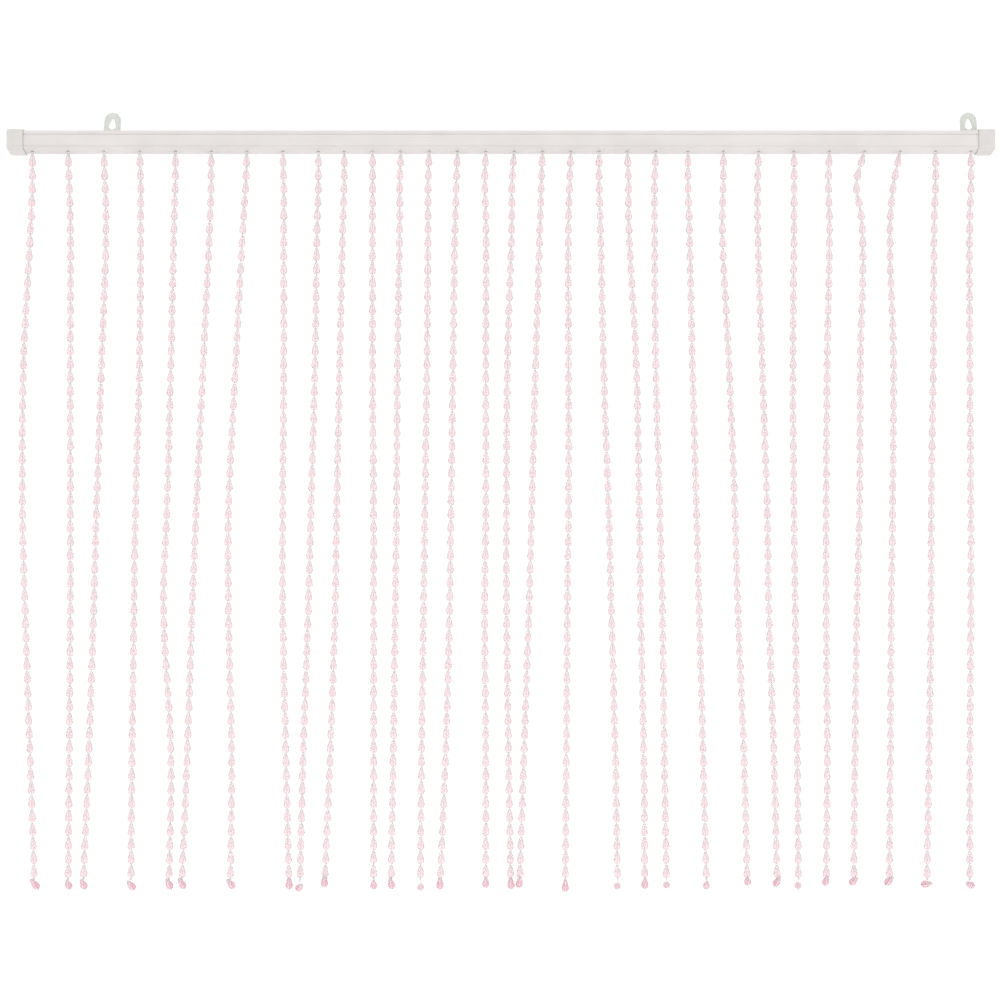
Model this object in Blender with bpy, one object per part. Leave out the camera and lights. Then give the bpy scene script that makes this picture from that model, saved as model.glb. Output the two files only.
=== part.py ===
"""Bead curtain on its rail: thirty strands of faceted drop beads hang from a slim plastic pelmet rail.

X runs along the rail, +Z is up and the curtain faces -Y. The wall is the plane y = 0. The origin is
midway along the rail, on the wall, level with the tops of the two keyholes that the curtain hangs by.
Sizes are in metres.
"""

import math
from collections import namedtuple

import bmesh
import bpy

# Driving sizes
CURTAIN_WIDTH = 0.900
GAP = 0.0003
WALL_CLEARANCE = 0.0035  # from the wall to the back of the rail

# Rail: a hollow extrusion with a channel in its back and a sloping underside
RAIL_TOP = -0.0137
RAIL_DEPTH = 0.018
RAIL_FACE_HEIGHT = 0.0162  # from the top to the nose where the underside starts
SLOPE_DROP = 0.0030
SLOPE_DEPTH = 0.0135
RAIL_WALL = 0.0014
TOP_EDGE_RADIUS = 0.0026
GROOVE_TOP = 0.0034  # below the rail's top
GROOVE_HEIGHT = 0.0010
GROOVE_DEPTH = 0.0006
NOSE_HEIGHT = 0.0016
NOSE_PROUD = 0.0003
CHANNEL_MIDDLE = 0.0086  # below the rail's top
CHANNEL_HEIGHT = 0.0095
CHANNEL_MOUTH = 0.0050
CHANNEL_DEPTH = 0.0023
CHANNEL_LIP = 0.0012
ARC_STEPS = 4

# End caps: cups that slide over the ends of the rail
CAP_LENGTH = 0.0147
CAP_WALL = 0.0009
CAP_END = 0.0015
CAP_EDGE = 0.0008

# Hangers: keyhole plates whose feet slide in the rail's channel
HANGER_WIDTH = 0.0150
HANGER_TOP = 0.0056
HANGER_BOTTOM = -0.0295
HANGER_THICKNESS = 0.0020
KEYHOLE_SMALL_RADIUS = 0.0016
KEYHOLE_LARGE_RADIUS = 0.0033
KEYHOLE_SPACING = 0.0050  # between the two arcs' centres
ROUND_STEPS = 12
FOOT_WIDTH = 0.0064
FOOT_HEIGHT = 0.0072
FOOT_THICKNESS = 0.0017
NECK_WIDTH = 0.0046
NECK_HEIGHT = 0.0032

Hanger = namedtuple("Hanger", "name foot_x lean_deg")
HANGERS = (
    Hanger("hanger_left", -0.3589, 5.5),
    Hanger("hanger_right", 0.4313, -4.0),
)

# Strands
STRAND_Y = -0.0130
STRAND_DROP = 0.6735  # from the underside of the rail to the foot
STRAND_RADIUS = 0.0035
NECK_RADIUS = 0.0011
NECK_LENGTH = 0.0030
SHOULDER_LENGTH = 0.0030
FOOT_TAPER = 0.0040
HOLE_RADIUS = 0.0016
TINE_SIDES = 8
EVEN_RINGS = 8
HEADING_WIDTH = 0.0030
HEADING_HEIGHT = 0.0020
HEADING_ABOVE_FLOOR = 0.0009

HoleGroup = namedtuple("HoleGroup", "count first pitch")
HOLE_GROUPS = (
    HoleGroup(9, -0.4285, 0.03270),
    HoleGroup(12, -0.1433, 0.02590),
    HoleGroup(9, 0.1711, 0.03235),
)

# How far each strand swings to the side of its hole, in millimetres, at these drops below the rail
SWAY_DROPS = (0.030, 0.060, 0.190, 0.335, 0.410, 0.555)
Sway = namedtuple("Sway", "at_30 at_60 at_190 at_335 at_410 at_555 at_foot")
SWAYS = (
    Sway(0, -1, -8, -9, -7, -2, 2),
    Sway(1, 2, 2, 2, 2, 1, 0),
    Sway(1, 2, -2, -7, -9, -14, -19),
    Sway(1, 1, 0, -4, -5, -7, -8),
    Sway(0, -1, -4, -8, -11, -4, -6),
    Sway(0, -1, -7, -14, -17, -22, -27),
    Sway(-1, -3, -10, -17, -17, -14, -15),
    Sway(1, 1, 1, 0, 0, 3, 6),
    Sway(0, -1, -3, -7, -9, -14, -17),
    Sway(0, -1, -4, -7, -8, -13, -18),
    Sway(0, 0, 0, 1, 1, 1, 1),
    Sway(-1, -1, -3, -4, -5, -7, -9),
    Sway(-1, -1, -2, -4, -5, -7, -8),
    Sway(-1, -2, -4, -6, -7, -11, -16),
    Sway(-1, 0, 0, 0, -1, 0, 0),
    Sway(-2, -2, -6, -7, -7, -5, -3),
    Sway(-1, -2, -6, -10, -12, -17, -21),
    Sway(-1, -2, -2, -2, -3, -4, -5),
    Sway(0, 1, 4, 9, 11, 15, 17),
    Sway(1, 1, 8, 11, 12, 15, 16),
    Sway(-1, -1, 0, 4, 6, 8, 10),
    Sway(0, 1, 4, 8, 10, 14, 17),
    Sway(0, -1, 5, 11, 13, 19, 22),
    Sway(-1, -1, 3, 8, 9, 14, 17),
    Sway(0, 0, -1, 0, 1, 3, 4),
    Sway(-1, 0, -2, -3, -3, -2, -3),
    Sway(-8, -3, -4, -5, -7, -9, -10),
    Sway(-6, -9, -6, -7, -8, -9, -10),
    Sway(0, -1, -2, -4, -4, -6, -8),
    Sway(0, -1, -1, 0, 0, -1, -1),
)

# Worked out from the sizes above
RAIL_BACK = -WALL_CLEARANCE
RAIL_FRONT = RAIL_BACK - RAIL_DEPTH
NOSE_Z = RAIL_TOP - RAIL_FACE_HEIGHT
RAIL_BOTTOM = NOSE_Z - SLOPE_DROP
SLOPE_BACK = RAIL_FRONT + SLOPE_DEPTH
RAIL_HALF = CURTAIN_WIDTH / 2 - CAP_END - GAP
CHANNEL_Z = RAIL_TOP - CHANNEL_MIDDLE
HOLE_Z = NOSE_Z - SLOPE_DROP * (STRAND_Y - RAIL_FRONT) / SLOPE_DEPTH
SLOPE_FLOOR = HOLE_Z + RAIL_WALL


def clear_scene():
    for obj in list(bpy.data.objects):
        bpy.data.objects.remove(obj)


def plastic(name, color, roughness, transmission=0.0, ior=1.49):
    material = bpy.data.materials.new(name)
    material.use_nodes = True
    shader = material.node_tree.nodes["Principled BSDF"]
    shader.inputs["Base Color"].default_value = (*color, 1.0)
    shader.inputs["Roughness"].default_value = roughness
    shader.inputs["Metallic"].default_value = 0.0
    shader.inputs["Transmission Weight"].default_value = transmission
    shader.inputs["IOR"].default_value = ior
    return material


def object_from(bm, name, material=None):
    """A new object with this mesh, its faces turned outwards."""
    bmesh.ops.recalc_face_normals(bm, faces=bm.faces)
    mesh = bpy.data.meshes.new(name)
    bm.to_mesh(mesh)
    bm.free()
    obj = bpy.data.objects.new(name, mesh)
    bpy.context.scene.collection.objects.link(obj)
    if material:
        mesh.materials.append(material)
    return obj


def boolean(obj, cutter, operation):
    """Hides the cutter and uses it on the object."""
    cutter.hide_render = True
    cutter.display_type = "WIRE"
    modifier = obj.modifiers.new(cutter.name, "BOOLEAN")
    modifier.object = cutter
    modifier.operation = operation
    modifier.solver = "EXACT"


def add_prism(bm, outline, start, end, place):
    """Sweeps a closed outline from start to end; place(u, v, along) gives each point."""
    first = [bm.verts.new(place(u, v, start)) for u, v in outline]
    last = [bm.verts.new(place(u, v, end)) for u, v in outline]
    count = len(outline)
    for i in range(count):
        j = (i + 1) % count
        bm.faces.new((first[i], first[j], last[j], last[i]))
    bm.faces.new(first)
    bm.faces.new(last[::-1])
    return first, last


def along_x(y, z, x):
    return (x, y, z)


def along_y(x, z, y):
    return (x, y, z)


def along_z(x, y, z):
    return (x, y, z)


def prism_object(name, outline, start, end, place, material=None):
    bm = bmesh.new()
    add_prism(bm, outline, start, end, place)
    return object_from(bm, name, material)


def rectangle(width, height, middle=(0.0, 0.0)):
    left, right = middle[0] - width / 2, middle[0] + width / 2
    low, high = middle[1] - height / 2, middle[1] + height / 2
    return [(left, low), (right, low), (right, high), (left, high)]


def arc(center, radius, start_deg, end_deg, steps):
    """Points on an arc, both ends included."""
    points = []
    for i in range(steps + 1):
        angle = math.radians(start_deg + (end_deg - start_deg) * i / steps)
        points.append((center[0] + radius * math.cos(angle), center[1] + radius * math.sin(angle)))
    return points


def shell_outline(grow):
    """The rail's plain outer outline in Y and Z, moved out by grow, with no channel and no grooves."""
    lean = SLOPE_DROP / SLOPE_DEPTH
    stretch = math.hypot(1.0, lean)
    back = RAIL_BACK + grow
    front = RAIL_FRONT - NOSE_PROUD - grow
    top = RAIL_TOP + grow
    floor = RAIL_BOTTOM - grow
    radius = TOP_EDGE_RADIUS + grow
    nose = NOSE_Z - grow * stretch + lean * (RAIL_FRONT - front)
    heel = SLOPE_BACK - grow * (stretch - 1.0) / lean
    chamfer = NOSE_HEIGHT / 3
    points = [(back, top)]
    points += arc((front + radius, top - radius), radius, 90, 180, ARC_STEPS)
    points += [(front, nose + chamfer), (front + chamfer, nose - lean * chamfer)]
    points += [(heel, floor), (back, floor)]
    return points


def rail_outline():
    """The rail's outer outline in Y and Z, with the channel in its back and the lines on its face."""
    radius = TOP_EDGE_RADIUS
    groove_high = RAIL_TOP - GROOVE_TOP
    groove_low = groove_high - GROOVE_HEIGHT
    nose_high = NOSE_Z + NOSE_HEIGHT
    nose_front = RAIL_FRONT - NOSE_PROUD
    mouth = CHANNEL_MOUTH / 2
    half = CHANNEL_HEIGHT / 2
    lip = RAIL_BACK - CHANNEL_LIP
    deep = lip - CHANNEL_DEPTH
    points = [(RAIL_BACK, RAIL_TOP)]
    points += arc((RAIL_FRONT + radius, RAIL_TOP - radius), radius, 90, 180, ARC_STEPS)
    points += [(RAIL_FRONT, groove_high), (RAIL_FRONT + GROOVE_DEPTH, groove_high - GROOVE_DEPTH / 2)]
    points += [(RAIL_FRONT + GROOVE_DEPTH, groove_low + GROOVE_DEPTH / 2), (RAIL_FRONT, groove_low)]
    points += [(RAIL_FRONT, nose_high + NOSE_PROUD), (RAIL_FRONT + NOSE_PROUD, nose_high)]
    points += [(nose_front, nose_high - NOSE_PROUD), (nose_front, NOSE_Z + NOSE_HEIGHT / 3)]
    points += [(nose_front + NOSE_HEIGHT / 3, NOSE_Z)]
    points += [(SLOPE_BACK, RAIL_BOTTOM), (RAIL_BACK, RAIL_BOTTOM)]
    points += [(RAIL_BACK, CHANNEL_Z - mouth), (lip, CHANNEL_Z - mouth)]
    points += [(lip, CHANNEL_Z - half), (deep, CHANNEL_Z - half)]
    points += [(deep, CHANNEL_Z + half), (lip, CHANNEL_Z + half)]
    points += [(lip, CHANNEL_Z + mouth), (RAIL_BACK, CHANNEL_Z + mouth)]
    return points


def cavity_outline():
    """The hollow inside the rail, in Y and Z."""
    front = RAIL_FRONT + RAIL_WALL
    top = RAIL_TOP - RAIL_WALL
    channel = RAIL_BACK - CHANNEL_LIP - CHANNEL_DEPTH - RAIL_WALL
    under_channel = CHANNEL_Z - CHANNEL_HEIGHT / 2 - RAIL_WALL
    back = RAIL_BACK - RAIL_WALL
    floor = RAIL_BOTTOM + RAIL_WALL
    bevel = RAIL_WALL / 2
    front_floor = floor + SLOPE_DROP * (SLOPE_BACK - front) / SLOPE_DEPTH
    points = [(channel, top), (front + bevel, top), (front, top - bevel)]
    points += [(front, front_floor), (SLOPE_BACK, floor), (back, floor)]
    points += [(back, under_channel), (channel, under_channel)]
    return points


def hole_positions():
    return [group.first + group.pitch * i for group in HOLE_GROUPS for i in range(group.count)]


def curve_value(stations, values, at):
    """A smooth curve through the values at the stations, with the mean slope at each inner station."""
    last = len(stations) - 1
    slopes = [(values[i + 1] - values[i]) / (stations[i + 1] - stations[i]) for i in range(last)]
    tangents = [slopes[0]] + [(slopes[i] + slopes[i + 1]) / 2 for i in range(last - 1)] + [slopes[-1]]
    i = max(k for k in range(last) if at >= stations[k] or k == 0)
    width = stations[i + 1] - stations[i]
    t = (at - stations[i]) / width
    start = (2 * t**3 - 3 * t**2 + 1) * values[i] + (t**3 - 2 * t**2 + t) * width * tangents[i]
    end = (3 * t**2 - 2 * t**3) * values[i + 1] + (t**3 - t**2) * width * tangents[i + 1]
    return start + end


def strand_x(hole_x, sway, drop):
    """Where the strand from this hole is along X, this far below the rail."""
    stations = (0.0, *SWAY_DROPS, STRAND_DROP)
    values = (0.0, *(mm / 1000 for mm in sway))
    return hole_x + curve_value(stations, values, drop)


def tine_rings():
    """How far down each ring of a tine is, and its radius: a neck, then the full width to a round foot."""
    neck_top = HOLE_Z - (SLOPE_FLOOR + HEADING_ABOVE_FLOOR + HEADING_HEIGHT / 2)
    even_start = SWAY_DROPS[1]
    step = (STRAND_DROP - FOOT_TAPER - even_start) / EVEN_RINGS
    rings = [(neck_top, NECK_RADIUS), (NECK_LENGTH, NECK_RADIUS)]
    rings += [(NECK_LENGTH + SHOULDER_LENGTH, STRAND_RADIUS), (SWAY_DROPS[0], STRAND_RADIUS)]
    rings += [(even_start + step * i, STRAND_RADIUS) for i in range(EVEN_RINGS + 1)]
    rings += [(STRAND_DROP, STRAND_RADIUS / 2)]
    return rings


def add_tine(bm, hole_x, sway):
    """One strand, from the heading strip inside the rail to its foot."""
    previous = None
    for drop, radius in tine_rings():
        x = strand_x(hole_x, sway, max(drop, 0.0))
        ring = []
        for side in range(TINE_SIDES):
            angle = math.tau * (side + 0.5) / TINE_SIDES
            place = (x + radius * math.cos(angle), STRAND_Y + radius * math.sin(angle), HOLE_Z - drop)
            ring.append(bm.verts.new(place))
        if previous:
            for side in range(TINE_SIDES):
                after = (side + 1) % TINE_SIDES
                bm.faces.new((previous[side], previous[after], ring[after], ring[side]))
        else:
            bm.faces.new(ring)
        previous = ring
    bm.faces.new(previous[::-1])


def make_rail(material):
    """The extrusion, with its hollow and a hole in its floor for each strand."""
    rail = prism_object("rail", rail_outline(), -RAIL_HALF, RAIL_HALF, along_x, material)
    cavity_half = RAIL_HALF + CAP_LENGTH
    cavity = prism_object("rail_cavity", cavity_outline(), -cavity_half, cavity_half, along_x)
    boolean(rail, cavity, "DIFFERENCE")
    bm = bmesh.new()
    low, high = HOLE_Z - RAIL_WALL, SLOPE_FLOOR + RAIL_WALL
    for hole_x in hole_positions():
        circle = arc((hole_x, STRAND_Y), HOLE_RADIUS, 0, 360, TINE_SIDES)[:-1]
        add_prism(bm, circle, low, high, along_z)
    boolean(rail, object_from(bm, "strand_holes"), "DIFFERENCE")


def make_cap(name, side, material):
    """A cup over one end of the rail; side is -1 at the left and 1 at the right."""
    end = side * CURTAIN_WIDTH / 2
    mouth = end - side * CAP_LENGTH
    bm = bmesh.new()
    _, outer_end = add_prism(bm, shell_outline(GAP + CAP_WALL), mouth, end, along_x)
    rim = [edge for edge in bm.edges if all(vert in outer_end for vert in edge.verts)]
    bmesh.ops.bevel(bm, geom=rim, offset=CAP_EDGE, segments=2, profile=0.5, affect="EDGES")
    cap = object_from(bm, name, material)
    socket_start = mouth - side * CAP_LENGTH
    socket_end = end - side * CAP_END
    socket = prism_object(name + "_socket", shell_outline(GAP), socket_start, socket_end, along_x)
    boolean(cap, socket, "DIFFERENCE")


def plate_outline(foot_z):
    """A hanger plate with a round top, measured from its foot."""
    half = HANGER_WIDTH / 2
    low = HANGER_BOTTOM - foot_z
    top = HANGER_TOP - foot_z
    return [(-half, low), (half, low)] + arc((0.0, top - half), half, 0, 180, ROUND_STEPS)


def keyhole_outline(seat):
    """A pear shape whose top is the seat of the screw's shank."""
    small_z = seat - KEYHOLE_SMALL_RADIUS
    large_z = small_z - KEYHOLE_SPACING
    tangent = math.degrees(math.asin((KEYHOLE_LARGE_RADIUS - KEYHOLE_SMALL_RADIUS) / KEYHOLE_SPACING))
    points = arc((0.0, small_z), KEYHOLE_SMALL_RADIUS, tangent, 180 - tangent, ROUND_STEPS // 2)
    points += arc((0.0, large_z), KEYHOLE_LARGE_RADIUS, 180 - tangent, 360 + tangent, ROUND_STEPS)
    return points


def make_hanger(hanger, material):
    """A keyhole plate with a foot in the rail's channel, turned about that foot."""
    name = hanger.name
    foot_z = CHANNEL_Z
    foot_back = RAIL_BACK - CHANNEL_LIP - GAP
    foot_front = foot_back - FOOT_THICKNESS
    neck_front = foot_back - FOOT_THICKNESS / 2
    neck_back = -HANGER_THICKNESS / 2
    neck = rectangle(NECK_WIDTH, NECK_HEIGHT)
    foot = rectangle(FOOT_WIDTH, FOOT_HEIGHT)
    keyhole = keyhole_outline(-foot_z)
    plate = prism_object(name, plate_outline(foot_z), -HANGER_THICKNESS, 0.0, along_y, material)
    neck_tool = prism_object(name + "_neck", neck, neck_front, neck_back, along_y)
    foot_tool = prism_object(name + "_foot", foot, foot_front, foot_back, along_y)
    keyhole_tool = prism_object(name + "_keyhole", keyhole, -2 * HANGER_THICKNESS, HANGER_THICKNESS, along_y)
    for tool, operation in ((neck_tool, "UNION"), (foot_tool, "UNION"), (keyhole_tool, "DIFFERENCE")):
        tool.parent = plate
        boolean(plate, tool, operation)
    plate.location = (hanger.foot_x, 0.0, foot_z)
    plate.rotation_euler = (0.0, math.radians(hanger.lean_deg), 0.0)


def make_strands(material):
    """One comb: a heading strip inside the rail, with a tine for each strand."""
    holes = hole_positions()
    middle = (STRAND_Y, SLOPE_FLOOR + HEADING_ABOVE_FLOOR + HEADING_HEIGHT / 2)
    heading = rectangle(HEADING_WIDTH, HEADING_HEIGHT, middle)
    start = holes[0] - HEADING_WIDTH
    end = holes[-1] + HEADING_WIDTH
    comb = prism_object("strands", heading, start, end, along_x, material)
    bm = bmesh.new()
    for hole_x, sway in zip(holes, SWAYS):
        add_tine(bm, hole_x, sway)
    boolean(comb, object_from(bm, "strand_tines"), "UNION")


def main():
    clear_scene()
    rail_plastic = plastic("rail_plastic", (0.79, 0.76, 0.745), 0.38)
    cap_plastic = plastic("cap_plastic", (0.75, 0.73, 0.715), 0.42)
    hanger_plastic = plastic("hanger_plastic", (0.78, 0.81, 0.77), 0.35, transmission=0.4)
    bead_plastic = plastic("bead_plastic", (0.97, 0.62, 0.71), 0.06, transmission=0.8)
    make_rail(rail_plastic)
    make_cap("cap_left", -1, cap_plastic)
    make_cap("cap_right", 1, cap_plastic)
    for hanger in HANGERS:
        make_hanger(hanger, hanger_plastic)
    make_strands(bead_plastic)


main()
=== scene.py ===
"""The looks of a bead curtain: thirty threaded strands of clear pink drop beads on a pale rail.

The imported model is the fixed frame: X runs along the rail, the curtain faces -Y and Z is up, in metres.
Each strand is a nylon thread through 53 faceted drop beads, with one more bead tied below its knot.
"""

import math
from collections import namedtuple

import bpy
import numpy as np
from mathutils import Matrix, Vector


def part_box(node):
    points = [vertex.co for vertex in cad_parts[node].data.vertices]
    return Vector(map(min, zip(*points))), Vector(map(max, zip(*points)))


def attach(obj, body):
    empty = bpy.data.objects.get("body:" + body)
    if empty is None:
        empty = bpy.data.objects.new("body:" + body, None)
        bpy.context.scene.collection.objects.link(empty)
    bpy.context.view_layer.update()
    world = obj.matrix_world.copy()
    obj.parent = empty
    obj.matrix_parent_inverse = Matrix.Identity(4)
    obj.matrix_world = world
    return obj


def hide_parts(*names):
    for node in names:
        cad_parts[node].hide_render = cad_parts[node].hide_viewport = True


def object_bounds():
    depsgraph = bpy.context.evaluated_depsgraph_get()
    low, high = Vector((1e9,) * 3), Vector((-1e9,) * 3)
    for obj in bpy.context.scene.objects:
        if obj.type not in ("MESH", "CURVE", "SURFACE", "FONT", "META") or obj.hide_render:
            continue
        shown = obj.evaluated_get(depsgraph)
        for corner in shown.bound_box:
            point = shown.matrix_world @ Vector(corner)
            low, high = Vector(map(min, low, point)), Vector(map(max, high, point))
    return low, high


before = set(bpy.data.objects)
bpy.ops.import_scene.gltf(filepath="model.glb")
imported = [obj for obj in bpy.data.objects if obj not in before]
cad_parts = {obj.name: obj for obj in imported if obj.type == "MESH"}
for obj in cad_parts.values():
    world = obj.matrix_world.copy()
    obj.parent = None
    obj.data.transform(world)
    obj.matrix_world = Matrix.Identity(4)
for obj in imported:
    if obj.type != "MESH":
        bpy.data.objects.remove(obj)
cad_box = [list(corner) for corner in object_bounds()]
random = np.random.default_rng(30)

# Strands, as in the model
STRAND_Y = -0.0130
HOLE_Z = -0.03179
STRAND_DROP = 0.6735
HoleGroup = namedtuple("HoleGroup", "count first pitch")
HOLE_GROUPS = (
    HoleGroup(9, -0.4285, 0.03270),
    HoleGroup(12, -0.1433, 0.02590),
    HoleGroup(9, 0.1711, 0.03235),
)

# How far each strand swings to the side of its hole, in millimetres, at these drops below the rail
SWAY_DROPS = (0.030, 0.060, 0.190, 0.335, 0.410, 0.555)
Sway = namedtuple("Sway", "at_30 at_60 at_190 at_335 at_410 at_555 at_foot")
SWAYS = (
    Sway(0, -1, -8, -9, -7, -2, 2),
    Sway(1, 2, 2, 2, 2, 1, 0),
    Sway(1, 2, -2, -7, -9, -14, -19),
    Sway(1, 1, 0, -4, -5, -7, -8),
    Sway(0, -1, -4, -8, -11, -4, -6),
    Sway(0, -1, -7, -14, -17, -22, -27),
    Sway(-1, -3, -10, -17, -17, -14, -15),
    Sway(1, 1, 1, 0, 0, 3, 6),
    Sway(0, -1, -3, -7, -9, -14, -17),
    Sway(0, -1, -4, -7, -8, -13, -18),
    Sway(0, 0, 0, 1, 1, 1, 1),
    Sway(-1, -1, -3, -4, -5, -7, -9),
    Sway(-1, -1, -2, -4, -5, -7, -8),
    Sway(-1, -2, -4, -6, -7, -11, -16),
    Sway(-1, 0, 0, 0, -1, 0, 0),
    Sway(-2, -2, -6, -7, -7, -5, -3),
    Sway(-1, -2, -6, -10, -12, -17, -21),
    Sway(-1, -2, -2, -2, -3, -4, -5),
    Sway(0, 1, 4, 9, 11, 15, 17),
    Sway(1, 1, 8, 11, 12, 15, 16),
    Sway(-1, -1, 0, 4, 6, 8, 10),
    Sway(0, 1, 4, 8, 10, 14, 17),
    Sway(0, -1, 5, 11, 13, 19, 22),
    Sway(-1, -1, 3, 8, 9, 14, 17),
    Sway(0, 0, -1, 0, 1, 3, 4),
    Sway(-1, 0, -2, -3, -3, -2, -3),
    Sway(-8, -3, -4, -5, -7, -9, -10),
    Sway(-6, -9, -6, -7, -8, -9, -10),
    Sway(0, -1, -2, -4, -4, -6, -8),
    Sway(0, -1, -1, 0, 0, -1, -1),
)

# Beads: faceted drops threaded tip up, sitting a little looser towards the foot
BEADS_PER_STRAND = 53
BEAD_LENGTH = 0.0118
FIRST_TIP_DROP = 0.0024
BEAD_PITCH = 0.01228
BEAD_LOOSENING = 0.0000043  # for the square of the bead's place in the row
BEAD_SIDES = 8
BORE_RADIUS = 0.0004
BeadRing = namedtuple("BeadRing", "along radius")  # along is a share of the length from the tip
BEAD_RINGS = (
    BeadRing(0.00, 0.00105),
    BeadRing(0.13, 0.00165),
    BeadRing(0.32, 0.00240),
    BeadRing(0.52, 0.00302),
    BeadRing(0.71, 0.00345),
    BeadRing(0.86, 0.00300),
    BeadRing(0.95, 0.00215),
    BeadRing(1.00, 0.00125),
)
BEAD_LEAN = math.radians(2.0)
SIZE_SPREAD = 0.02

# Threads
THREAD_RADIUS = 0.0003
THREAD_START = 0.0030  # above the hole, inside the rail
THREAD_POINTS = 40
KNOT_RADIUS = 0.0007
KNOT_GAP = 0.0012  # from the last threaded bead to the knot
LOOP_POINTS = 24
TIE_SIDES = 6  # of the tube round a knot or a loop

# The bead tied below each strand: how far its tip leans to +X and towards the viewer, in degrees, and
# how much lower than FOOT_DROP its foot hangs, in millimetres
FOOT_DROP = 0.6744
Stopper = namedtuple("Stopper", "lean towards lower")
STOPPERS = (
    Stopper(-35, 20, 1.0),
    Stopper(-10, 45, 1.0),
    Stopper(-15, 40, 1.0),
    Stopper(-30, 35, 2.0),
    Stopper(-20, 30, 1.0),
    Stopper(-25, 28, 0.5),
    Stopper(-32, 35, 0.5),
    Stopper(0, 5, 0.5),
    Stopper(40, 50, 3.0),
    Stopper(0, 5, -1.5),
    Stopper(0, 45, 1.0),
    Stopper(-10, 30, 0.5),
    Stopper(0, 75, 2.0),
    Stopper(0, 5, 0.5),
    Stopper(0, 38, -0.5),
    Stopper(-5, 5, 0.5),
    Stopper(5, 30, -0.5),
    Stopper(0, 20, 3.0),
    Stopper(5, 75, 1.0),
    Stopper(0, 30, 0.5),
    Stopper(-10, 70, 0.0),
    Stopper(0, 55, 1.0),
    Stopper(-20, 55, -2.5),
    Stopper(25, 37, -1.5),
    Stopper(0, 75, 0.5),
    Stopper(10, 45, -2.5),
    Stopper(35, 48, -2.5),
    Stopper(35, 42, -2.5),
    Stopper(70, 50, -0.5),
    Stopper(-60, 42, 0.5),
)


# ---------------------------------------------------------------- materials


def new_material(name):
    """A material with its node tree and its Principled shader."""
    material = bpy.data.materials.new(name)
    material.use_nodes = True
    tree = material.node_tree
    return material, tree, tree.nodes["Principled BSDF"]


def noise(tree, coordinates, scale, detail=2.0, stretch=(1.0, 1.0, 1.0)):
    """A noise value over the surface, scale being its cells for each metre."""
    mapping = tree.nodes.new("ShaderNodeMapping")
    mapping.inputs["Scale"].default_value = stretch
    tree.links.new(coordinates, mapping.inputs["Vector"])
    texture = tree.nodes.new("ShaderNodeTexNoise")
    texture.inputs["Scale"].default_value = scale
    texture.inputs["Detail"].default_value = detail
    tree.links.new(mapping.outputs["Vector"], texture.inputs["Vector"])
    return texture.outputs["Fac"]


def object_coordinates(tree):
    return tree.nodes.new("ShaderNodeTexCoord").outputs["Object"]


def ramp(tree, value, low, high, start=0.35, end=0.65):
    """A colour that goes from low to high as the value goes from start to end."""
    node = tree.nodes.new("ShaderNodeValToRGB")
    first, last = node.color_ramp.elements
    first.position = start
    first.color = (*low, 1.0)
    last.position = end
    last.color = (*high, 1.0)
    tree.links.new(value, node.inputs["Fac"])
    return node.outputs["Color"]


def mixed_color(tree, factor, first, second, blend="MIX"):
    """One colour over another; each is a socket or a plain colour."""
    mix = tree.nodes.new("ShaderNodeMix")
    mix.data_type = "RGBA"
    mix.blend_type = blend
    if factor is None:
        mix.inputs["Factor"].default_value = 1.0
    else:
        tree.links.new(factor, mix.inputs["Factor"])
    for name, color in (("A", first), ("B", second)):
        if isinstance(color, tuple):
            mix.inputs[name].default_value = (*color, 1.0)
        else:
            tree.links.new(color, mix.inputs[name])
    return mix.outputs["Result"]


def rescale(tree, value, low, high, start=0.3, end=0.7):
    """A number that goes from low to high as the value goes from start to end."""
    node = tree.nodes.new("ShaderNodeMapRange")
    node.inputs["From Min"].default_value = start
    node.inputs["From Max"].default_value = end
    node.inputs["To Min"].default_value = low
    node.inputs["To Max"].default_value = high
    tree.links.new(value, node.inputs["Value"])
    return node.outputs["Result"]


def add_bump(tree, shader, height, distance, strength=1.0):
    """Adds relief, distance high in metres, over what the shader has already."""
    bump = tree.nodes.new("ShaderNodeBump")
    bump.inputs["Strength"].default_value = strength
    bump.inputs["Distance"].default_value = distance
    if shader.inputs["Normal"].links:
        tree.links.new(shader.inputs["Normal"].links[0].from_socket, bump.inputs["Normal"])
    tree.links.new(height, bump.inputs["Height"])
    tree.links.new(bump.outputs["Normal"], shader.inputs["Normal"])


def bead_acrylic(name, pale, deep):
    """Partly milky tinted acrylic, deeper where the bead is thick, uneven in tone and finely rubbed."""
    material, tree, shader = new_material(name)
    place = object_coordinates(tree)
    thickness = tree.nodes.new("ShaderNodeAttribute")
    thickness.attribute_name = "thickness"
    tint = ramp(tree, thickness.outputs["Fac"], pale, deep, 0.45, 0.95)
    unevenness = ramp(tree, noise(tree, place, 75.0, 1.0), (1.0, 0.98, 0.985), (1.0, 1.0, 1.0))
    tree.links.new(mixed_color(tree, None, tint, unevenness, "MULTIPLY"), shader.inputs["Base Color"])
    rubbing = noise(tree, place, 1400.0, 3.0)
    tree.links.new(rescale(tree, rubbing, 0.03, 0.12), shader.inputs["Roughness"])
    add_bump(tree, shader, noise(tree, place, 420.0, 1.0), 0.00006, 0.5)
    shader.inputs["Transmission Weight"].default_value = 0.42
    shader.inputs["IOR"].default_value = 1.49
    return material


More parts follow.
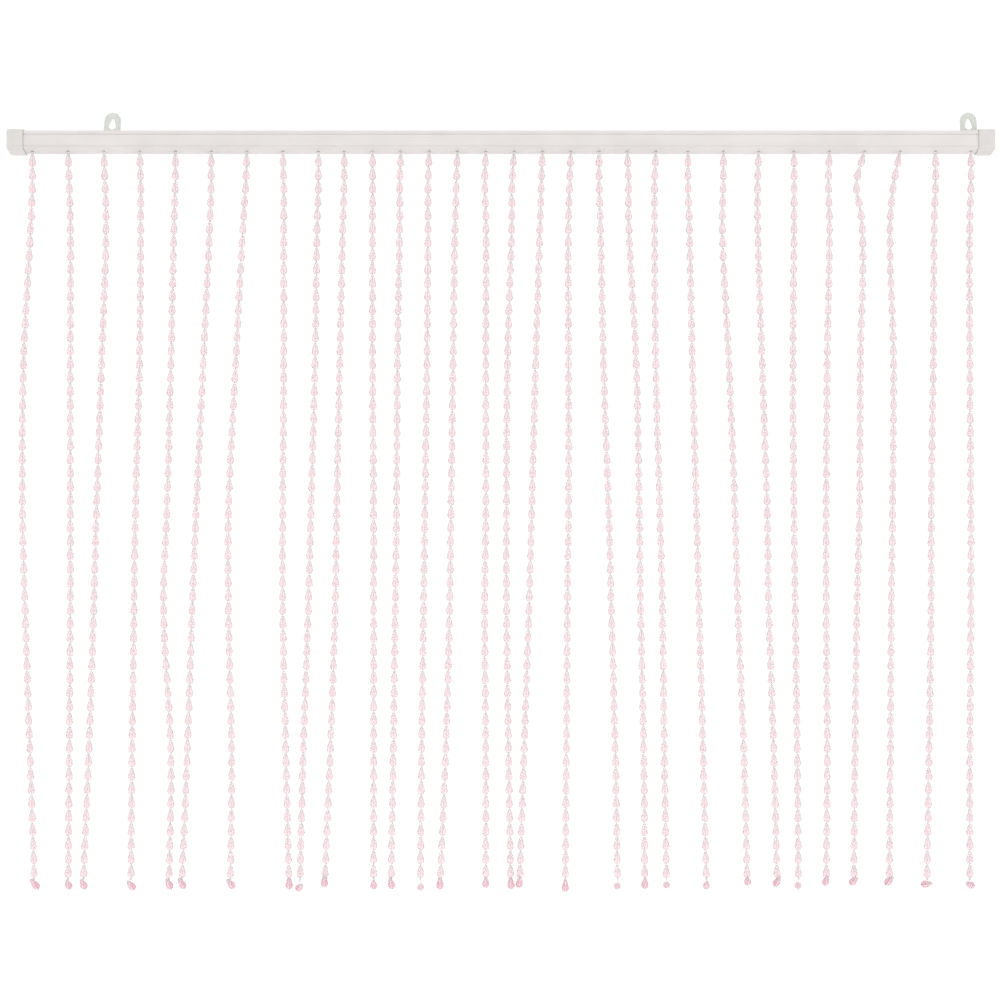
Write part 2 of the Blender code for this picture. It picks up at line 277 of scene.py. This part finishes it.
def thread_nylon():
    """Clear nylon line with a faint twist."""
    material, tree, shader = new_material("thread_nylon")
    place = object_coordinates(tree)
    tone = noise(tree, place, 300.0, 2.0)
    tree.links.new(ramp(tree, tone, (0.94, 0.90, 0.91), (0.99, 0.96, 0.965)), shader.inputs["Base Color"])
    tree.links.new(rescale(tree, tone, 0.18, 0.34), shader.inputs["Roughness"])
    twist = tree.nodes.new("ShaderNodeTexWave")
    twist.bands_direction = "DIAGONAL"
    twist.inputs["Scale"].default_value = 900.0
    tree.links.new(place, twist.inputs["Vector"])
    add_bump(tree, shader, twist.outputs["Fac"], 0.00003, 0.6)
    shader.inputs["Transmission Weight"].default_value = 0.15
    shader.inputs["IOR"].default_value = 1.53
    return material


def rail_plastic():
    """Off-white extruded plastic: streaks along the rail, a soft mottle and satin gloss."""
    material, tree, shader = new_material("rail_plastic")
    place = object_coordinates(tree)
    streaks = noise(tree, place, 900.0, 3.0, (0.004, 1.0, 1.0))
    mottle = noise(tree, place, 26.0, 4.0)
    mix = tree.nodes.new("ShaderNodeMix")
    mix.data_type = "RGBA"
    mix.blend_type = "MULTIPLY"
    mix.inputs["Factor"].default_value = 0.6
    tree.links.new(ramp(tree, mottle, (0.725, 0.692, 0.678), (0.775, 0.742, 0.730)), mix.inputs["A"])
    tree.links.new(ramp(tree, streaks, (0.95, 0.95, 0.95), (1.0, 1.0, 1.0)), mix.inputs["B"])
    tree.links.new(mix.outputs["Result"], shader.inputs["Base Color"])
    tree.links.new(rescale(tree, streaks, 0.32, 0.46), shader.inputs["Roughness"])
    add_bump(tree, shader, streaks, 0.00003, 0.5)
    add_bump(tree, shader, noise(tree, place, 2600.0, 2.0), 0.00001, 0.4)
    shader.inputs["IOR"].default_value = 1.5
    return material


def moulded_plastic(name, pale, deep, transmission, roughness):
    """Milky moulded plastic with a cloudy mottle and a fine mould texture."""
    material, tree, shader = new_material(name)
    place = object_coordinates(tree)
    cloud = noise(tree, place, 160.0, 4.0)
    tree.links.new(ramp(tree, cloud, deep, pale), shader.inputs["Base Color"])
    grain = noise(tree, place, 3200.0, 2.0)
    tree.links.new(rescale(tree, grain, roughness - 0.06, roughness + 0.06), shader.inputs["Roughness"])
    add_bump(tree, shader, cloud, 0.00008, 0.4)
    add_bump(tree, shader, grain, 0.00002, 0.4)
    shader.inputs["Transmission Weight"].default_value = transmission
    shader.inputs["IOR"].default_value = 1.49
    return material


def floor_paint():
    """Plain pale floor paint with a faint mottle and roller marks."""
    material, tree, shader = new_material("floor_paint")
    place = object_coordinates(tree)
    mottle = noise(tree, place, 3.0, 4.0)
    paint = ramp(tree, mottle, (0.84, 0.84, 0.835), (0.88, 0.88, 0.875))
    tree.links.new(paint, shader.inputs["Base Color"])
    marks = noise(tree, place, 90.0, 3.0)
    tree.links.new(rescale(tree, marks, 0.62, 0.78), shader.inputs["Roughness"])
    add_bump(tree, shader, marks, 0.0002, 0.4)
    return material


# ---------------------------------------------------------------- strands


def hole_positions():
    return [group.first + group.pitch * i for group in HOLE_GROUPS for i in range(group.count)]


def curve_value(stations, values, at):
    """A smooth curve through the values at the stations, with the mean slope at each inner station."""
    last = len(stations) - 1
    slopes = [(values[i + 1] - values[i]) / (stations[i + 1] - stations[i]) for i in range(last)]
    tangents = [slopes[0]] + [(slopes[i] + slopes[i + 1]) / 2 for i in range(last - 1)] + [slopes[-1]]
    i = max(k for k in range(last) if at >= stations[k] or k == 0)
    width = stations[i + 1] - stations[i]
    t = (at - stations[i]) / width
    start = (2 * t**3 - 3 * t**2 + 1) * values[i] + (t**3 - 2 * t**2 + t) * width * tangents[i]
    end = (3 * t**2 - 2 * t**3) * values[i + 1] + (t**3 - t**2) * width * tangents[i + 1]
    return start + end


def strand_point(hole_x, sway, drop):
    """The strand's middle this far below its hole."""
    stations = (0.0, *SWAY_DROPS, STRAND_DROP)
    values = (0.0, *(mm / 1000 for mm in sway))
    x = hole_x + curve_value(stations, values, max(drop, 0.0))
    return Vector((x, STRAND_Y, HOLE_Z - drop))


def ring_points(radius, z, turn, sides):
    """A ring of points round Z, turned by this share of one side."""
    points = []
    for side in range(sides):
        angle = math.tau * (side + turn) / sides
        points.append((radius * math.cos(angle), radius * math.sin(angle), z))
    return points


def bead_mesh():
    """Vertices and triangles of one faceted drop with its bore, tip up, centred on the origin."""
    sides = BEAD_SIDES
    points = []
    for i, ring in enumerate(BEAD_RINGS):
        z = BEAD_LENGTH * (0.5 - ring.along)
        points += ring_points(ring.radius, z, 0.5 * (i % 2), sides)
    last_turn = 0.5 * ((len(BEAD_RINGS) - 1) % 2)
    points += ring_points(BORE_RADIUS, -BEAD_LENGTH / 2, last_turn, sides)
    points += ring_points(BORE_RADIUS, BEAD_LENGTH / 2, 0.0, sides)
    triangles = []
    rings = len(BEAD_RINGS)
    for i in range(rings - 1):
        upper = i * sides
        lower = upper + sides
        shift = i % 2
        for side in range(sides):
            after = (side + 1) % sides
            if shift:
                triangles.append((upper + side, lower + side, lower + after))
                triangles.append((upper + side, lower + after, upper + after))
            else:
                triangles.append((upper + side, lower + side, upper + after))
                triangles.append((upper + after, lower + side, lower + after))
    bore_low = rings * sides
    bore_high = bore_low + sides
    for high, low in (((rings - 1) * sides, bore_low), (bore_low, bore_high), (bore_high, 0)):
        for side in range(sides):
            after = (side + 1) % sides
            triangles.append((high + side, low + side, low + after))
            triangles.append((high + side, low + after, high + after))
    return np.array(points), np.array(triangles)


def store_thickness(obj, bead, count):
    """Stores on each vertex how thick the bead is at its height, as a share of the thickest part."""
    widest = max(ring.radius for ring in BEAD_RINGS)
    alongs = [ring.along for ring in BEAD_RINGS]
    radii = [ring.radius for ring in BEAD_RINGS]
    heights = 0.5 - bead[0][:, 2] / BEAD_LENGTH
    shares = np.interp(heights, alongs, radii) / widest
    attribute = obj.data.attributes.new("thickness", "FLOAT", "POINT")
    attribute.data.foreach_set("value", np.tile(shares, count).astype(np.float32))


def mesh_object(name, points, triangles, material, smooth=False):
    mesh = bpy.data.meshes.new(name)
    mesh.from_pydata([tuple(point) for point in points], [], [tuple(face) for face in triangles])
    mesh.materials.append(material)
    if smooth:
        mesh.shade_smooth()
    obj = bpy.data.objects.new(name, mesh)
    bpy.context.scene.collection.objects.link(obj)
    return obj


def bead_rotation(direction, lean, lean_turn, spin):
    """Turns a bead's tip from +Z to this direction, after a spin and a small lean."""
    base = Vector((0.0, 0.0, 1.0)).rotation_difference(direction).to_matrix()
    lean_axis = Vector((math.cos(lean_turn), math.sin(lean_turn), 0.0))
    return base @ Matrix.Rotation(lean, 3, lean_axis) @ Matrix.Rotation(spin, 3, "Z")


def bead_tip_drop(place):
    """How far below the hole the tip of the bead at this place in the row is."""
    return FIRST_TIP_DROP + BEAD_PITCH * place + BEAD_LOOSENING * place**2


def make_beads(number, hole_x, sway, bead, material):
    """All the threaded beads of one strand, as one joined mesh."""
    shape, faces = bead
    all_points = []
    all_faces = []
    for i in range(BEADS_PER_STRAND):
        drop = bead_tip_drop(i)
        top = strand_point(hole_x, sway, drop)
        bottom = strand_point(hole_x, sway, drop + BEAD_LENGTH)
        lean = random.uniform(0.0, BEAD_LEAN)
        turn = random.uniform(0.0, math.tau)
        spin = random.uniform(0.0, math.tau)
        size = 1.0 + random.uniform(-SIZE_SPREAD, SIZE_SPREAD)
        rotation = np.array(bead_rotation((top - bottom).normalized(), lean, turn, spin))
        scaled = shape * np.array((size, size, 1.0))
        all_points.append(scaled @ rotation.T + np.array((top + bottom) / 2))
        all_faces.append(faces + i * len(shape))
    name = f"beads_{number:02d}"
    beads = mesh_object(name, np.concatenate(all_points), np.concatenate(all_faces), material)
    store_thickness(beads, bead, BEADS_PER_STRAND)
    return beads


def tip_direction(stopper):
    lean = math.radians(stopper.lean)
    towards = math.radians(stopper.towards)
    level = math.cos(towards)
    return Vector((math.sin(lean) * level, -math.sin(towards), math.cos(lean) * level))


def make_stopper(number, hole_x, sway, stopper, bead, material):
    """The bead tied below the strand, its lowest point at the strand's foot; returns it and its centre."""
    shape, faces = bead
    spin = random.uniform(0.0, math.tau)
    rotation = np.array(bead_rotation(tip_direction(stopper), 0.0, 0.0, spin))
    turned = shape @ rotation.T
    foot = FOOT_DROP + stopper.lower / 1000
    centre = strand_point(hole_x, sway, STRAND_DROP)
    centre.z = HOLE_Z - foot - turned[:, 2].min()
    tied = mesh_object(f"stopper_{number:02d}", turned + np.array(centre), faces, material)
    store_thickness(tied, bead, 1)
    return tied, centre


def tube_mesh(path, radius, sides, closed):
    """Vertices and faces of a tube along a path, with no caps; a closed path joins its own start."""
    count = len(path)
    points = []
    side_axis = None
    for i, point in enumerate(path):
        before = path[i - 1] if closed or i else path[i]
        after = path[(i + 1) % count] if closed or i < count - 1 else path[i]
        along = (after - before).normalized()
        if side_axis is None:
            side_axis = along.orthogonal()
        side_axis = (side_axis - along * side_axis.dot(along)).normalized()
        other = along.cross(side_axis)
        for k in range(sides):
            angle = math.tau * k / sides
            points.append(point + radius * (math.cos(angle) * side_axis + math.sin(angle) * other))
    faces = []
    for i in range(count if closed else count - 1):
        start = i * sides
        end = (i + 1) % count * sides
        for k in range(sides):
            after = (k + 1) % sides
            faces.append((start + k, start + after, end + after, end + k))
    return points, faces


def knot_path(centre):
    """A small trefoil, for the knot in a thread."""
    path = []
    for i in range(LOOP_POINTS * 2):
        angle = math.tau * i / (LOOP_POINTS * 2)
        x = (math.sin(angle) + 2 * math.sin(2 * angle)) / 3
        y = (math.cos(angle) - 2 * math.cos(2 * angle)) / 3
        z = -math.sin(3 * angle) / 3
        path.append(centre + KNOT_RADIUS * Vector((x, z, y)))
    return path


def loop_path(knot, centre, direction):
    """From the knot through the bore of the tied bead and back up its outer side."""
    half = BEAD_LENGTH / 2
    tip = centre + direction * half
    bottom = centre - direction * half
    belly = centre - direction * half * 0.43
    outwards = Vector((0.0, -1.0, 0.0))
    outwards = (outwards - direction * outwards.dot(direction)).normalized()
    clear = BEAD_RINGS[4].radius + 2 * THREAD_RADIUS
    guides = [knot, tip, centre, bottom]
    guides += [bottom - direction * THREAD_RADIUS * 2 + outwards * BEAD_RINGS[-1].radius]
    guides += [belly + outwards * clear, centre + direction * half * 0.6 + outwards * clear * 0.62]
    return smooth_loop(guides, LOOP_POINTS)


def smooth_loop(guides, count):
    """A closed smooth path through these points."""
    path = []
    total = len(guides)
    for i in range(count):
        place = total * i / count
        k = int(place)
        t = place - k
        p0, p1, p2, p3 = (guides[(k + j) % total] for j in (-1, 0, 1, 2))
        part = 2 * p1 + (p2 - p0) * t + (2 * p0 - 5 * p1 + 4 * p2 - p3) * t**2
        path.append((part + (3 * p1 - p0 - 3 * p2 + p3) * t**3) / 2)
    return path


def make_tie(number, knot, centre, stopper, material):
    """The knot under the last threaded bead and the loop through the tied bead."""
    points, faces = tube_mesh(knot_path(knot), THREAD_RADIUS, TIE_SIDES, True)
    loop = loop_path(knot, centre, tip_direction(stopper))
    loop_points, loop_faces = tube_mesh(loop, THREAD_RADIUS, TIE_SIDES, True)
    faces += [tuple(corner + len(points) for corner in face) for face in loop_faces]
    return mesh_object(f"tie_{number:02d}", points + loop_points, faces, material, smooth=True)


def make_thread(number, hole_x, sway, end_drop, material):
    """The nylon line from inside the rail to its knot, as one open curve."""
    curve = bpy.data.curves.new(f"thread_{number:02d}", "CURVE")
    curve.dimensions = "3D"
    curve.bevel_depth = THREAD_RADIUS
    curve.bevel_resolution = 2
    curve.use_fill_caps = True
    spline = curve.splines.new("POLY")
    spline.points.add(THREAD_POINTS - 1)
    for i, point in enumerate(spline.points):
        drop = -THREAD_START + (end_drop + THREAD_START) * i / (THREAD_POINTS - 1)
        point.co = (*strand_point(hole_x, sway, drop), 1.0)
    curve.materials.append(material)
    obj = bpy.data.objects.new(curve.name, curve)
    bpy.context.scene.collection.objects.link(obj)
    return obj


def make_strands(bead_material, stopper_material, thread_material):
    """Every strand: its beads, its thread, and the bead tied below it."""
    bead = bead_mesh()
    end_drop = bead_tip_drop(BEADS_PER_STRAND - 1) + BEAD_LENGTH + KNOT_GAP
    for i, (hole_x, sway, stopper) in enumerate(zip(hole_positions(), SWAYS, STOPPERS)):
        number = i + 1
        beads = make_beads(number, hole_x, sway, bead, bead_material)
        tied, centre = make_stopper(number, hole_x, sway, stopper, bead, stopper_material)
        knot = strand_point(hole_x, sway, end_drop)
        tie = make_tie(number, knot, centre, stopper, thread_material)
        thread = make_thread(number, hole_x, sway, end_drop, thread_material)
        for piece in (beads, tied, tie, thread):
            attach(piece, "root")
            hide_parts("strands")


# ---------------------------------------------------------------- rail, caps and hangers


def finish_node(node, material):
    """Gives a node of the model its finished material."""
    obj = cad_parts[node]
    obj.data.materials.clear()
    obj.data.materials.append(material)


def finish_rail():
    finish_node("rail", rail_plastic())
    cap = moulded_plastic("cap_plastic", (0.83, 0.805, 0.79), (0.78, 0.755, 0.74), 0.15, 0.42)
    hanger = moulded_plastic("hanger_plastic", (0.80, 0.82, 0.78), (0.74, 0.77, 0.72), 0.45, 0.32)
    for node in ("cap_left", "cap_right"):
        finish_node(node, cap)
    for node in ("hanger_left", "hanger_right"):
        finish_node(node, hanger)


# ---------------------------------------------------------------- studio


FLOOR_BELOW = 0.55  # from the curtain's foot to the floor
FLOOR_SIZE = 3.0
CAMERA_DISTANCE = 1.95  # from the rail's front
CAMERA_LENS = 77.1
CAMERA_BELOW = 0.0008  # below the middle of the curtain's height
CARD_SIZE = 1.4
LOW_CARD_SIZE = 1.6
WHITE = (1.0, 1.0, 1.0)
RING_GREY = (0.45, 0.45, 0.46)  # of the rings round X, which only the beads and lit surfaces see
FRONT_GREY = (0.86, 0.86, 0.86)  # of the world before the curtain, against white behind it
BACKDROP = (0.80, 0.80, 0.80)  # what the camera sees, white once WORLD_STRENGTH is applied
WORLD_STRENGTH = 1.3


def make_floor(low):
    size = FLOOR_SIZE / 2
    z = low.z - FLOOR_BELOW
    points = [(-size, -size, z), (size, -size, z), (size, size, z), (-size, size, z)]
    floor = mesh_object("floor", points, [(0, 1, 2, 3)], floor_paint())


def make_camera(low, high):
    data = bpy.data.cameras.new("camera")
    data.lens = CAMERA_LENS
    camera = bpy.data.objects.new("camera", data)
    camera.location = (-0.0008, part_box("rail")[0][1] - CAMERA_DISTANCE, (low.z + high.z) / 2 - CAMERA_BELOW)
    camera.rotation_euler = (math.radians(90.0), 0.0, 0.0)
    bpy.context.scene.collection.objects.link(camera)
    bpy.context.scene.camera = camera


def split_direction(tree):
    place = tree.nodes.new("ShaderNodeTexCoord").outputs["Generated"]
    split = tree.nodes.new("ShaderNodeSeparateXYZ")
    tree.links.new(place, split.inputs["Vector"])
    return split.outputs


def make_world():
    """Brighter behind the curtain than before it, with grey rings round X for the clear beads' edges."""
    world = bpy.data.worlds.new("studio")
    world.use_nodes = True
    tree = world.node_tree
    direction = split_direction(tree)
    sideways = tree.nodes.new("ShaderNodeMath")
    sideways.operation = "ABSOLUTE"
    tree.links.new(direction["X"], sideways.inputs[0])
    rings = ramp(tree, sideways.outputs["Value"], WHITE, RING_GREY, 0.62, 0.76)
    stops = rings.node.color_ramp.elements
    for position, color in ((0.88, RING_GREY), (0.96, WHITE)):
        stops.new(position).color = (*color, 1.0)
    sides = ramp(tree, direction["Y"], FRONT_GREY, WHITE, 0.2, 0.7)
    around = mixed_color(tree, None, rings, sides, "MULTIPLY")
    camera_ray = tree.nodes.new("ShaderNodeLightPath").outputs["Is Camera Ray"]
    background = tree.nodes["Background"]
    seen = mixed_color(tree, camera_ray, around, BACKDROP)
    tree.links.new(seen, background.inputs["Color"])
    background.inputs["Strength"].default_value = WORLD_STRENGTH
    bpy.context.scene.world = world


def area_light(name, place, target, size, power):
    data = bpy.data.lights.new(name, "AREA")
    data.shape = "RECTANGLE"
    data.size = size
    data.size_y = size
    data.energy = power
    light = bpy.data.objects.new(name, data)
    light.location = place
    light.rotation_euler = (Vector(target) - Vector(place)).to_track_quat("-Z", "Y").to_euler()
    light.visible_camera = False
    bpy.context.scene.collection.objects.link(light)


def make_studio():
    low, high = Vector(cad_box[0]), Vector(cad_box[1])
    middle = (low + high) / 2
    make_floor(low)
    make_camera(low, high)
    make_world()
    area_light("key", middle + Vector((-1.6, -2.4, 1.5)), middle, CARD_SIZE, 3.0)
    area_light("fill", middle + Vector((2.2, -1.8, -0.2)), middle, CARD_SIZE, 1.5)
    below = Vector((0.0, -0.45, low.z - 0.35))
    area_light("low_card", below, Vector((0.0, 0.0, high.z)), LOW_CARD_SIZE, 3.0)
    scene = bpy.context.scene
    scene.view_settings.view_transform = "Standard"


make_studio()
make_strands(
    bead_acrylic("bead_acrylic", (1.0, 0.93, 0.94), (1.0, 0.84, 0.87)),
    bead_acrylic("stopper_acrylic", (0.97, 0.78, 0.82), (0.95, 0.60, 0.68)),
    thread_nylon(),
)
finish_rail()
